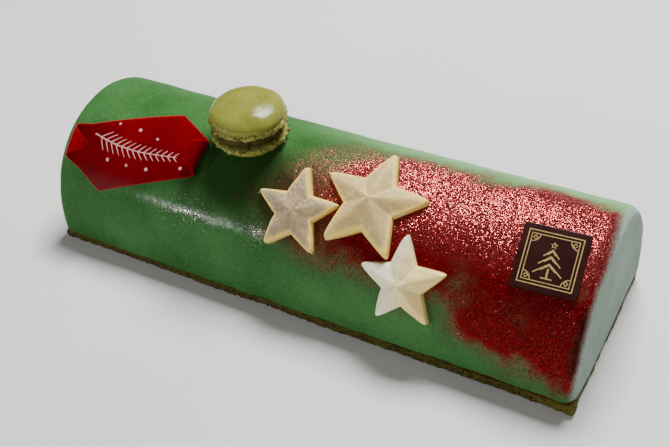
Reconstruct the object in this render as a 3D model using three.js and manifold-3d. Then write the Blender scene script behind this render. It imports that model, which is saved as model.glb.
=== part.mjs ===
// A glazed yule log cake: a half-round mousse log on a thin sponge, decorated with a macaron,
// three moulded stars, a curled red tag and a small square of dark chocolate.
// Millimetres, +Z up. +X runs along the log towards the chocolate square, +Y points to the back,
// and the origin is the middle of the sponge's underside.
import * as THREE from "three";
import { mergeVertices } from "three/addons/utils/BufferGeometryUtils.js";
import Module from "manifold-3d";

// Driving dimensions of the log
const LOG_LENGTH = 258;
const LOG_WIDTH = 90;
const LOG_HEIGHT = 59.4;
const SPRING_HEIGHT = 10.2; // where the straight sides turn into the arch
const END_ROUNDING = 6; // the glaze runs round the end edges in this radius
const SPONGE_THICKNESS = 3.8;
const SPONGE_INSET = 0.8; // how far the sponge stays inside the glaze at the sides
const SPONGE_INSET_LEFT = 2.8; // and at the end beside the tag
const SPONGE_STEP = 8; // spacing of the points along its cut sides
const GAP = 0.3; // clearance between pieces that touch

const HALF_LENGTH = LOG_LENGTH / 2;
const HALF_WIDTH = LOG_WIDTH / 2;
const ARCH_RISE = LOG_HEIGHT - SPRING_HEIGHT;
const ARC_RADIUS = (HALF_WIDTH + ARCH_RISE) / 2; // mean radius, which turns arc lengths into angles

const wasm = await Module();
wasm.setup();

// Geometry and solids

// The closed solid of a geometry, with its doubled points joined and empty triangles left out.
function solidOf(geometry) {
  const bare = new THREE.BufferGeometry()
    .setAttribute("position", geometry.getAttribute("position").clone())
    .setIndex(geometry.index ? geometry.index.clone() : null);
  const merged = mergeVertices(bare, 1e-4);
  const whole = [];
  for (let i = 0; i < merged.index.count; i += 3) {
    const [a, b, c] = merged.index.array.slice(i, i + 3);
    if (a !== b && b !== c && a !== c) whole.push(a, b, c);
  }
  return new wasm.Manifold(
    new wasm.Mesh({
      numProp: 3,
      vertProperties: new Float32Array(merged.attributes.position.array),
      triVerts: new Uint32Array(whole),
    }),
  );
}

// A flat-shaded geometry of a solid.
function geometryOf(solid) {
  const mesh = solid.getMesh();
  const geometry = new THREE.BufferGeometry()
    .setAttribute("position", new THREE.BufferAttribute(mesh.vertProperties, mesh.numProp))
    .setIndex(new THREE.BufferAttribute(mesh.triVerts, 1))
    .toNonIndexed();
  geometry.computeVertexNormals();
  return geometry;
}

// Moves every vertex of a geometry to move(point), which changes the point in place.
function reshape(geometry, move) {
  const place = geometry.getAttribute("position");
  const point = new THREE.Vector3();
  for (let i = 0; i < place.count; i++) {
    move(point.fromBufferAttribute(place, i));
    place.setXYZ(i, point.x, point.y, point.z);
  }
  return geometry;
}

// A lathed solid about Z from [radius, height] pairs that run up from the axis and back to it.
function turned(profile, sides) {
  const points = profile.map(([radius, height]) => new THREE.Vector2(radius, height));
  return new THREE.LatheGeometry(points, sides).rotateX(Math.PI / 2);
}

// The log's surface

// The point of the arch a given arc length from the ridge towards the front, raised along its normal.
function onLog(x, arc, lift) {
  const angle = arc / ARC_RADIUS;
  const normal = new THREE.Vector3(0, -Math.sin(angle) / HALF_WIDTH, Math.cos(angle) / ARCH_RISE);
  return new THREE.Vector3(
    x,
    -HALF_WIDTH * Math.sin(angle),
    SPRING_HEIGHT + ARCH_RISE * Math.cos(angle),
  ).addScaledVector(normal.normalize(), lift);
}

// How far the arch leans to the front at an arc length: the turn about X of a piece that lies there.
function lean(arc) {
  const angle = arc / ARC_RADIUS;
  return Math.atan2(Math.sin(angle) / HALF_WIDTH, Math.cos(angle) / ARCH_RISE);
}

// The log's form from one height up, swollen by a margin on every side.
function logSolid(bottom, margin) {
  const side = HALF_WIDTH + margin;
  const below = bottom - 2 * END_ROUNDING;
  const outline = new THREE.Shape()
    .moveTo(side, below)
    .lineTo(side, SPRING_HEIGHT)
    .absellipse(0, SPRING_HEIGHT, side, ARCH_RISE + margin, 0, Math.PI)
    .lineTo(-side, below)
    .closePath();
  const extruded = new THREE.ExtrudeGeometry(outline, {
    depth: LOG_LENGTH + 2 * margin - 2 * END_ROUNDING,
    bevelThickness: END_ROUNDING,
    bevelSize: END_ROUNDING,
    bevelOffset: -END_ROUNDING,
    bevelSegments: 4,
    curveSegments: 44,
  });
  extruded.translate(0, 0, -HALF_LENGTH - margin + END_ROUNDING);
  const alongX = new THREE.Matrix4().makeBasis(
    new THREE.Vector3(0, 1, 0),
    new THREE.Vector3(0, 0, 1),
    new THREE.Vector3(1, 0, 0),
  );
  const room = new THREE.BoxGeometry(2 * LOG_LENGTH, 2 * LOG_WIDTH, 2 * LOG_HEIGHT);
  room.translate(0, 0, bottom + LOG_HEIGHT);
  return solidOf(extruded.applyMatrix4(alongX)).intersect(solidOf(room));
}

// Cuts from a piece's own solid what would sink into the log, once the piece stands at its place.
function fitToLog(mesh) {
  mesh.updateWorldMatrix(true, false);
  const log = geometryOf(logSolid(0, GAP)).applyMatrix4(mesh.matrixWorld.clone().invert());
  mesh.geometry = geometryOf(solidOf(mesh.geometry).subtract(solidOf(log)));
  return mesh;
}

function piece(name, geometry, color, roughness) {
  const mesh = new THREE.Mesh(
    geometry,
    new THREE.MeshStandardMaterial({ color, roughness, metalness: 0 }),
  );
  mesh.name = name;
  return mesh;
}

// The glazed log and the sponge under it

function glazedLog() {
  const geometry = geometryOf(logSolid(SPONGE_THICKNESS + GAP, 0));
  return piece("glazed_log", geometry, 0x3f7a45, 0.3);
}

// The sponge is cut by knife, so its sides wander a little and its corners stay square.
function spongeBase() {
  const left = -HALF_LENGTH + SPONGE_INSET_LEFT;
  const right = HALF_LENGTH - SPONGE_INSET / 2;
  const side = HALF_WIDTH - SPONGE_INSET;
  const corners = [
    new THREE.Vector2(left, -side),
    new THREE.Vector2(right, -side),
    new THREE.Vector2(right, side),
    new THREE.Vector2(left, side),
  ];
  const outline = [];
  corners.forEach((corner, i) => {
    const next = corners[(i + 1) % corners.length];
    const along = next.clone().sub(corner).normalize();
    const inward = new THREE.Vector2(-along.y, along.x);
    const steps = Math.round(next.distanceTo(corner) / SPONGE_STEP);
    for (let j = 0; j < steps; j++) {
      const point = corner.clone().lerp(next, j / steps);
      const way = point.x + point.y;
      const depth = j === 0 ? 0 : Math.abs(0.35 * Math.sin(way / 9) + 0.25 * Math.sin(way / 3.7));
      outline.push(point.addScaledVector(inward, depth));
    }
  });
  const geometry = new THREE.ExtrudeGeometry(new THREE.Shape(outline), {
    depth: SPONGE_THICKNESS,
    bevelEnabled: false,
  });
  return piece("sponge_base", geometry, 0x4a3b12, 0.95);
}

// The macaron

const MACARON = {
  x: -34.7,
  y: -7.75,
  z: 67.4, // height of the filling's middle above the table
  leanForward: 3.8, // degrees
  leanRight: 2.7,
  foot: 17.2,
  shell: 16.5,
  filling: 15.4,
  fillingThickness: 4.4,
  sides: 44,
};

// The halves' profiles as [radius, height]: a ruffled foot first, then the smooth dome, which is
// flatter on the lower half because it is pressed into the glaze.
const MACARON_TOP = [
  [0, 0],
  [14.8, 0.1],
  [16.7, 0.3],
  [17.2, 1.3],
  [16.9, 2.3],
  [15.4, 3.1],
  [16.5, 3.9],
  [16.1, 5.3],
  [14.4, 7.1],
  [11.2, 8.5],
  [6.6, 9.35],
  [0, 9.7],
];
const MACARON_BOTTOM = [
  [0, 0],
  [14.8, 0.1],
  [16.6, 0.3],
  [17.1, 1.2],
  [16.7, 2.1],
  [15.4, 2.7],
  [15.6, 3.3],
  [14.9, 4.3],
  [12.9, 5.6],
  [9.5, 6.4],
  [0, 6.8],
];

// One half of the macaron, whose foot is ruffled by a few odd waves.
function macaronShell(profile, phase) {
  return reshape(turned(profile, MACARON.sides), (point) => {
    const radius = Math.hypot(point.x, point.y);
    if (radius < 0.8 * MACARON.foot || point.z > 2.8) return;
    const angle = Math.atan2(point.y, point.x) + phase;
    const ruffle =
      0.28 * Math.sin(11 * angle) + 0.22 * Math.sin(17 * angle + 2) + 0.15 * Math.sin(5 * angle);
    point.x *= 1 + ruffle / radius;
    point.y *= 1 + ruffle / radius;
    if (point.z > 0.2) point.z += 0.25 * Math.sin(13 * angle + point.z);
  });
}

function macaron() {
  const group = new THREE.Group();
  group.position.set(MACARON.x, MACARON.y, MACARON.z);
  group.rotation.set(
    THREE.MathUtils.degToRad(MACARON.leanForward),
    THREE.MathUtils.degToRad(MACARON.leanRight),
    0,
  );
  const half = MACARON.fillingThickness / 2;
  const filling = turned(
    [
      [0, -half],
      [0.95 * MACARON.filling, -half],
      [MACARON.filling, -0.4 * half],
      [MACARON.filling, 0.4 * half],
      [0.95 * MACARON.filling, half],
      [0, half],
    ],
    MACARON.sides,
  );
  const top = piece("macaron_top_shell", macaronShell(MACARON_TOP, 0), 0x9a9450, 0.45);
  top.position.z = half + GAP;
  const bottom = piece("macaron_bottom_shell", macaronShell(MACARON_BOTTOM, 1.3), 0x8f8848, 0.6);
  bottom.position.z = -half - GAP;
  bottom.rotation.x = Math.PI;
  group.add(top, piece("macaron_filling", filling, 0x2c1d0a, 0.55), bottom);
  group.updateMatrixWorld(true);
  fitToLog(bottom);
  return group;
}

// The stars

// arc is the distance from the ridge down the front, turn the heading of one tip from +X.
const STARS = [
  { name: "star_left", x: 1.0, arc: 34.9, turn: 94.3, tip: 19.9, notch: 8.9, peak: 4.6 },
  { name: "star_large", x: 32.3, arc: 22.6, turn: 89.6, tip: 24.9, notch: 11.4, peak: 7.2 },
  { name: "star_right", x: 54.9, arc: 49.6, turn: 98.5, tip: 19.6, notch: 8.8, peak: 6.8 },
];
const STAR = {
  points: 5,
  blunt: 0.05, // rounding of the tips and, half as much, of the notches, in radians
  rim: 2.7, // height of the top face's edge over the log
  sunk: 1.2, // how deep the middle is pressed into the glaze
  draft: 0.7, // the wall leans out by this towards its foot
  bend: 94, // the stars sag round the log in this radius
  facetsPerArm: 10,
};

// Radius of a star's outline at an angle from a tip, with the tips and notches rounded off.
function starRadius(angle, tip, notch) {
  const half = Math.PI / STAR.points;
  const across = Math.abs(THREE.MathUtils.euclideanModulo(angle + half, 2 * half) - half);
  const soft = Math.hypot(across, STAR.blunt) - 0.45 * STAR.blunt;
  const side = Math.min(soft, half - STAR.blunt / 2);
  return (
    (tip * notch * Math.sin(half)) /
    (tip * Math.sin(side) + notch * Math.sin(half - side))
  );
}

function star({ name, x, arc, turn, tip, notch, peak }) {
  const sides = STAR.points * STAR.facetsPerArm;
  // [share of the outline's radius, height], from the underside's middle to the peak
  const geometry = turned(
    [
      [0, -STAR.sunk],
      [1, -STAR.sunk],
      [1, 0.62 * STAR.rim],
      [0.95, STAR.rim],
      [0.5, STAR.rim + 0.5 * (peak - STAR.rim)],
      [0, peak],
    ],
    sides,
  );
  reshape(geometry, (point) => {
    const share = Math.hypot(point.x, point.y);
    const angle = Math.atan2(point.y, point.x) - Math.PI / 2;
    const drafted = point.z < 0 ? STAR.draft : 0;
    const radius = share * (starRadius(angle, tip, notch) + drafted);
    const heading = angle + THREE.MathUtils.degToRad(turn);
    point.x = radius * Math.cos(heading);
    point.y = radius * Math.sin(heading);
    point.z -= (point.y * point.y) / (2 * STAR.bend);
  });
  const mesh = piece(name, geometry, 0xd9cda0, 0.5);
  mesh.position.copy(onLog(x, arc, 0));
  mesh.rotation.x = lean(arc);
  return fitToLog(mesh);
}

// The red tag: a slanted four-sided sheet whose two sharp corners are rolled up and inwards

// Corners as [x, arc length from the ridge down the front]
const TAG = {
  leftCorner: [-136.8, 32.9],
  backCorner: [-72.8, 5.6],
  rightCorner: [-32.8, 26.0],
  frontCorner: [-101.3, 52.3],
  middle: [-86, 29],
  heading: 3, // the rolls' axes are square to this direction, in degrees from +X to the front
  tipCut: 0.9, // the sharp corners' tips are blunt
  thickness: 0.7,
  columns: 6,
  rollRows: 15,
  middleRows: 13,
};

// Each flap's length from the fold to the corner, and the radii from which and to which it rolls up
const LEFT_ROLL = { flap: 21.9, firstRadius: 4.6, lastRadius: 3.7 };
const RIGHT_ROLL = { flap: 20.3, firstRadius: 3.2, lastRadius: 2.0 };

// The distance across the tag of an edge made of three corners, at a distance along the tag
function edgeAt(corners, along) {
  const [start, bend, end] = corners;
  const [from, to] = along < bend.x ? [start, bend] : [bend, end];
  return THREE.MathUtils.mapLinear(along, from.x, to.x, from.y, to.y);
}

// Where a flap that starts flat and rolls up ever tighter has got to after a length.
function rolled(length, { flap, firstRadius, lastRadius }) {
  const steps = 40;
  let out = 0;
  let up = 0;
  let turned = 0;
  for (let i = 0; i < steps; i++) {
    const share = ((i + 0.5) / steps) * (length / flap);
    const radius = THREE.MathUtils.lerp(firstRadius, lastRadius, share);
    turned += length / steps / radius;
    out += (Math.cos(turned) * length) / steps;
    up += (Math.sin(turned) * length) / steps;
  }
  return { out, up, turned };
}

function redTag() {
  const turn = THREE.MathUtils.degToRad(TAG.heading);
  const middle = new THREE.Vector2(...TAG.middle);
  const flatten = ([x, arc]) => new THREE.Vector2(x, arc).rotateAround(middle, -turn).sub(middle);
  const left = flatten(TAG.leftCorner);
  const right = flatten(TAG.rightCorner);
  const backEdge = [left, flatten(TAG.backCorner), right];
  const frontEdge = [left, flatten(TAG.frontCorner), right];
  const leftFold = -left.x - TAG.tipCut - LEFT_ROLL.flap;
  const rightFold = right.x - TAG.tipCut - RIGHT_ROLL.flap;
  const rows = [];
  const addRows = (from, to, count) => {
    for (let i = 0; i < count; i++) rows.push(THREE.MathUtils.lerp(from, to, i / count));
  };
  addRows(-leftFold - LEFT_ROLL.flap, -leftFold, TAG.rollRows);
  addRows(-leftFold, rightFold, TAG.middleRows);
  addRows(rightFold, rightFold + RIGHT_ROLL.flap, TAG.rollRows);
  rows.push(rightFold + RIGHT_ROLL.flap, backEdge[1].x, frontEdge[1].x);
  rows.sort((a, b) => a - b);
  const rest = GAP + TAG.thickness / 2;

  // A point of the sheet a given share across it, on its upper face (side 1) or lower face (-1)
  const place = (along, across, side) => {
    const f = THREE.MathUtils.lerp(edgeAt(backEdge, along), edgeAt(frontEdge, along), across);
    const [fold, roll] = along < 0 ? [leftFold, LEFT_ROLL] : [rightFold, RIGHT_ROLL];
    const flat = Math.min(Math.abs(along), fold);
    const { out, up, turned: angle } = rolled(Math.abs(along) - flat, roll);
    const half = (side * TAG.thickness) / 2;
    const b = Math.sign(along) * (flat + out - half * Math.sin(angle));
    const lift = rest + up + half * Math.cos(angle);
    const spot = new THREE.Vector2(b, f).add(middle).rotateAround(middle, turn);
    return onLog(spot.x, spot.y, lift);
  };

  // Each row of points goes right round the sheet: over its upper face and back along its lower one.
  const around = 2 * (TAG.columns + 1);
  const points = [];
  for (const along of rows) {
    for (let j = 0; j <= TAG.columns; j++) points.push(place(along, j / TAG.columns, 1));
    for (let j = TAG.columns; j >= 0; j--) points.push(place(along, j / TAG.columns, -1));
  }
  const faces = [];
  const last = (rows.length - 1) * around;
  for (let row = 0; row < last; row += around) {
    for (let j = 0; j < around; j++) {
      const next = (j + 1) % around;
      const [a, b, c, d] = [row + j, row + next, row + around + next, row + around + j];
      if (j < TAG.columns) faces.push(a, b, c, a, c, d);
      else faces.push(a, b, d, b, c, d);
    }
  }
  for (let j = 0; j < TAG.columns; j++) {
    const below = around - 1 - j;
    faces.push(j, below, below - 1, j, below - 1, j + 1);
    faces.push(last + j, last + below - 1, last + below, last + j, last + j + 1, last + below - 1);
  }
  const geometry = new THREE.BufferGeometry().setFromPoints(points).setIndex(faces);
  return piece("red_tag", geometry, 0x8e0606, 0.4);
}

// The chocolate square

const SQUARE = {
  x: 108.8,
  arc: 24.6, // distance of its middle from the ridge, down the front
  turn: 5.4, // degrees
  size: 25.6,
  edge: 0.25, // the bevel round it
  thickness: 1.6, // from the log's surface up
  sunk: 0.5,
};

function chocolateSquare() {
  const half = SQUARE.size / 2 - SQUARE.edge;
  const outline = new THREE.Shape()
    .moveTo(-half, -half)
    .lineTo(half, -half)
    .lineTo(half, half)
    .lineTo(-half, half)
    .closePath();
  const geometry = new THREE.ExtrudeGeometry(outline, {
    depth: SQUARE.thickness - SQUARE.edge + SQUARE.sunk,
    bevelThickness: SQUARE.edge,
    bevelSize: SQUARE.edge,
    bevelSegments: 1,
  });
  geometry.translate(0, 0, -SQUARE.sunk);
  geometry.rotateZ(THREE.MathUtils.degToRad(SQUARE.turn));
  const mesh = piece("chocolate_square", geometry, 0x24100c, 0.35);
  mesh.position.copy(onLog(SQUARE.x, SQUARE.arc, 0));
  mesh.rotation.x = lean(SQUARE.arc);
  return fitToLog(mesh);
}

const cake = new THREE.Group();
cake.add(glazedLog(), spongeBase(), macaron(), ...STARS.map(star), redTag(), chocolateSquare());

// The origin goes to the middle of the whole cake's footprint, as the lowest star overhangs a bit.
const middle = new THREE.Box3().setFromObject(cake, true).getCenter(new THREE.Vector3());
cake.position.set(-middle.x, -middle.y, 0);

export default cake;
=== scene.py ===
import math

import bpy
import numpy as np
from mathutils import Matrix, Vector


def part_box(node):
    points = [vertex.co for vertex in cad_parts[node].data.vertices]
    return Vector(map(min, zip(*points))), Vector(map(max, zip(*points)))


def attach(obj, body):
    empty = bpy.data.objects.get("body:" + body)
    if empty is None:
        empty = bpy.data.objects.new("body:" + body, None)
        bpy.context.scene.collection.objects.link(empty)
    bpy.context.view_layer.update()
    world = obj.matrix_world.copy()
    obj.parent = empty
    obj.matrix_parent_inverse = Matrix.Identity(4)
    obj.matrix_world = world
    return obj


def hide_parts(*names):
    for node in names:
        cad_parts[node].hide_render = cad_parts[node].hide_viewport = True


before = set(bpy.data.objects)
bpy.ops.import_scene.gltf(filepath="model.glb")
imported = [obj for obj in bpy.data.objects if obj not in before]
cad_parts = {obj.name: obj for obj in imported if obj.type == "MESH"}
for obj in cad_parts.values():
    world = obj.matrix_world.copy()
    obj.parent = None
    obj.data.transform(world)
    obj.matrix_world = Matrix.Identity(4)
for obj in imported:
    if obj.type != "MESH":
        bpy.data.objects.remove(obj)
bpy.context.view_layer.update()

# The log: a half-round bar of mousse turned out of its mould, frozen and sprayed green. A thin skirt
# of the glaze hangs over the sponge and is deeper at the tag's end. Red glitter is blown over the
# upper front from the chocolate square's end, and that end's own face is left nearly bare and pale.
LOG_LENGTH = 258.0
LOG_HEIGHT = 59.4
HALF_WIDTH = 45.0
SPRING = 10.2
END_ROUNDING = 6.0
SIDE_DROP = 6.1
GLAZE_FOOT = 4.15
UNDERSIDE_Y = np.array([44.45, 44.3, 30, 0, -30, -44.3, -44.45])
FACE_MIDDLE = 26.0
FACE_RINGS = 16
STATION_GAP = 1.2
RIDGE_LIGHT = (0.045, 0.056)
RISE = LOG_HEIGHT - SPRING
MEAN_RADIUS = (HALF_WIDTH + RISE) / 2
QUARTER = MEAN_RADIUS * math.pi / 2
log_low, log_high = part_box("glazed_log")
LOG_MIDDLE_Y = 500 * (log_low[1] + log_high[1])


def over_log(x, arc, lift=0.0):
    """Points over the log, in mm: arc is the way from the ridge down the front (negative: down the
    back), turned into an angle by the mean radius; past a quarter turn it runs straight down the
    side. lift goes out along the ellipse's normal (0, -sin/width, cos/rise)."""
    x, arc, lift = np.broadcast_arrays(np.asarray(x, float), arc, lift)
    angle = np.clip(arc, -QUARTER, QUARTER) / MEAN_RADIUS
    below = np.maximum(np.abs(arc) - QUARTER, 0)
    out_y = -np.sin(angle) / HALF_WIDTH
    out_z = np.where(np.abs(arc) < QUARTER, np.cos(angle) / RISE, 0)
    length = np.hypot(out_y, out_z)
    y = -HALF_WIDTH * np.sin(angle) + lift * out_y / length
    z = SPRING + RISE * np.cos(angle) - below + lift * out_z / length
    return np.stack([x, y, z], -1)


def waves(points, size, seed, count=20):
    """Smooth random unevenness of about unit strength: the sum of count cosines whose crests lie
    about size mm apart, in directions and phases drawn from the seed."""
    draw = np.random.default_rng(seed)
    way = draw.normal(size=(count, 3))
    way *= (2 * math.pi / size * draw.uniform(0.6, 1.5, count) / np.linalg.norm(way, axis=1))[:, None]
    phase = draw.uniform(0, 2 * math.pi, count)
    return np.cos(points @ way.T + phase).sum(-1) * math.sqrt(2 / count)


def step(value, low, high):
    """Smooth step: 0 below low, 1 above high, and 3t^2 - 2t^3 between them."""
    t = np.clip((value - low) / (high - low), 0, 1)
    return t * t * (3 - 2 * t)


def net(rows, columns, close_rows=False, close_columns=False):
    """Four-sided faces between neighbouring points of a grid of rows x columns."""
    r = np.arange(rows if close_rows else rows - 1)[:, None]
    c = np.arange(columns if close_columns else columns - 1)[None, :]
    next_r, next_c = (r + 1) % rows, (c + 1) % columns
    corners = [r * columns + c, r * columns + next_c, next_r * columns + next_c, next_r * columns + c]
    return np.stack(np.broadcast_arrays(*corners), -1).reshape(-1, 4)


def fan(middle, ring, turned=False):
    """Triangles from one point to a closed ring of points."""
    ring = np.asarray(ring)
    other = np.roll(ring, -1)
    first, second = (other, ring) if turned else (ring, other)
    return np.stack([np.full(len(ring), middle), first, second], -1)


def capped(rows, columns, turned=False):
    """Faces of a tube of rows x columns points, closed at its ends by fans to the two points that
    follow it; turned gives them the other side as their outer one."""
    ring = np.arange(columns)
    sides = net(rows, columns, close_columns=True)
    return [sides[:, ::-1] if turned else sides,
            fan(rows * columns, ring, turned=not turned),
            fan(rows * columns + 1, (rows - 1) * columns + ring, turned=turned)]


def made(name, points, faces, slot, material, replaced=(), smooth=True, marks=None):
    """Puts points (mm, about the log's middle) and lists of faces into a piece of the cake."""
    mesh = bpy.data.meshes.new(name)
    points = np.asarray(points, float).reshape(-1, 3) + [0, LOG_MIDDLE_Y, 0]
    faces = [np.asarray(f) for f in faces]
    mesh.vertices.add(len(points))
    mesh.vertices.foreach_set("co", (points * 0.001).ravel())
    sizes = np.concatenate([np.full(len(f), f.shape[1]) for f in faces])
    mesh.loops.add(int(sizes.sum()))
    mesh.loops.foreach_set("vertex_index", np.concatenate([f.ravel() for f in faces]))
    mesh.polygons.add(len(sizes))
    mesh.polygons.foreach_set("loop_start", np.concatenate([[0], np.cumsum(sizes)[:-1]]))
    mesh.polygons.foreach_set("loop_total", sizes)
    mesh.polygons.foreach_set("use_smooth", np.full(len(sizes), smooth))
    mesh.update(calc_edges=True)
    for mark, values in (marks or {}).items():
        mesh.attributes.new(mark, "FLOAT", "POINT").data.foreach_set("value", np.ravel(values))
    mesh.validate()
    mesh.materials.append(material)
    piece = bpy.data.objects.new(name, mesh)
    bpy.context.scene.collection.objects.link(piece)
    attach(piece, "root")
    if replaced:
        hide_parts(*replaced)
    return piece


def glaze_foot(x):
    """Height of the glaze's lower rim: low at the tag's end, higher at the other, a little wavy."""
    along = np.stack([x, 0 * x, 0 * x], -1)
    return (3.5 + 0.9 * step(x, -110, 40) + 0.9 * step(x, 30, 80)
            + 0.22 * waves(along, 23, 3, 9) + 0.12 * waves(along, 6, 4, 9))


# Borders of the red spray as stations along the log and arcs there, how softly it ends at its foot,
# and spots where it is thin: middle x and arc, length, height and the share that is missing.
RED_TOP = ([-40, -17, 0, 17, 42, 69, 93, 118, 129], [6, 1, -5, -9, -8, -9, -12, -10, -8])
RED_FOOT = ([-40, -20, 6.5, 26, 46, 68, 86, 103, 124], [42, 47, 51, 53, 56.5, 60.5, 67, 72.5, 75])
RED_SOFTNESS = ([-20, 40, 90, 120], [13, 12, 11, 9])
RED_FRINGE = ([-20, 40, 90, 120], [20, 16, 13, 10])
THIN_SPOTS = [(68, 55, 9, 8, 0.6), (92, 46, 17, 8, 0.42), (124.5, 32, 2.5, 5, 0.4), (20, -1, 14, 7, 0.4)]


def spray_reach(arc):
    """How much further the spray runs over the end's rounding on the front flank than on the ridge."""
    return 3.4 * step(arc, -10, 22) - 0.8 * step(arc, 55, 75)


def red_cover(x, arc):
    """Share of the surface under red glitter, from 0 to 1: full between two wandering borders, with
    a soft edge each, thinning out towards the macaron and ending at the bare end's rounding."""
    top, foot, soft, fringe = (np.interp(x, *line) for line in (RED_TOP, RED_FOOT, RED_SOFTNESS, RED_FRINGE))
    spot = np.stack([x, arc, 0 * x], -1)
    drift = 1.7 * waves(spot, 26, 11) + 0.6 * waves(spot, 9, 12)
    inside = step(foot - arc + drift, -soft, fringe) * step(arc - top + drift, -11, 9)
    thinning = step(x + 0.5 * (arc - 25), -52, 44)
    worn = 1 - sum(lost * np.exp(-((x - at_x) / long) ** 2 - ((arc - at_arc) / high) ** 2)
                   for at_x, at_arc, long, high, lost in THIN_SPOTS)
    end = step(x + 0.25 * drift - spray_reach(arc), 125.0, 129.4)
    return inside * thinning * (worn + 0.06 * drift) * (1 - end)


def silver_and_highlight_streak(x, arc):
    """Chance of a silver flake and its pale colour: highest on a line along the lower front where the
    lamp's gloss falls, so partly glitter and partly a painted highlight; it fades to its two ends.
    """
    middle = np.interp(x, [-90, -57, -8], [49.6, 49.3, 47.8])
    bright = np.exp(-((x + 52) / 15) ** 2) + 1.3 * np.exp(-((x + 14) / 6) ** 2)
    along_it = step(x, -96, -66) * (0.15 + 0.90 * bright)
    narrow = np.exp(-((arc - middle) / 1.8) ** 2)
    wide = 0.10 * np.exp(-((arc - middle) / 7) ** 2)
    return along_it * (1 - step(x, -10, 2)) * (0.42 * narrow + wide)


def painted_shade_patch(x, arc):
    """Share of painted shade: the shadow of the macaron and the tag's right roll, painted between the
    roll, the macaron and the left star, and painted shade in a narrow band beside the bare end."""
    spot = np.stack([x, arc, 0 * x], -1)
    drift = 2.5 * waves(spot, 22, 13)
    patch = step(x + drift, -66, -48) * (1 - step(x + drift, -8, 16))
    patch = patch * step(arc + drift, 8, 20) * (1 - step(arc + drift, 36, 52))
    band = np.exp(-((x - 123.8 - spray_reach(arc)) / 2.6) ** 2)
    band = band * step(arc + drift, 28, 40) * (1 - step(arc + drift, 60, 74))
    return patch + 1.1 * band


def log_grid():
    """The log as stations along X by columns round its section. At each end the section shrinks in a
    quarter circle by the rounding's radius, then straight to a point in the middle of the face. way
    is the distance from the log's middle measured over the surface."""
    end = -LOG_LENGTH / 2
    turn = np.linspace(math.pi / 2, 0, 10)
    body = np.arange(end + END_ROUNDING + STATION_GAP, 0, STATION_GAP)
    face = np.linspace(0.08, 0.98, FACE_RINGS)
    x = np.concatenate([np.full(FACE_RINGS, end), end + END_ROUNDING * (1 - np.sin(turn)), body])
    inset = np.concatenate([np.full(FACE_RINGS, END_ROUNDING), END_ROUNDING * (1 - np.cos(turn)), 0 * body])
    shrink = np.concatenate([face, np.ones(len(turn) + len(body))])
    way = np.concatenate([end - (math.pi / 2 - 1) * END_ROUNDING - HALF_WIDTH * (1 - face),
                          end + END_ROUNDING - END_ROUNDING * turn, body])
    x, inset, shrink, way = (np.concatenate([v, s * v[::-1]]) for v, s in
                             ((x, -1), (inset, 1), (shrink, 1), (way, -1)))
    arc = np.concatenate([np.linspace(1, 0.6, 60), np.linspace(0.6, -1, 150)[1:]]) * (QUARTER + SIDE_DROP)
    return x, inset, shrink, way, arc


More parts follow.
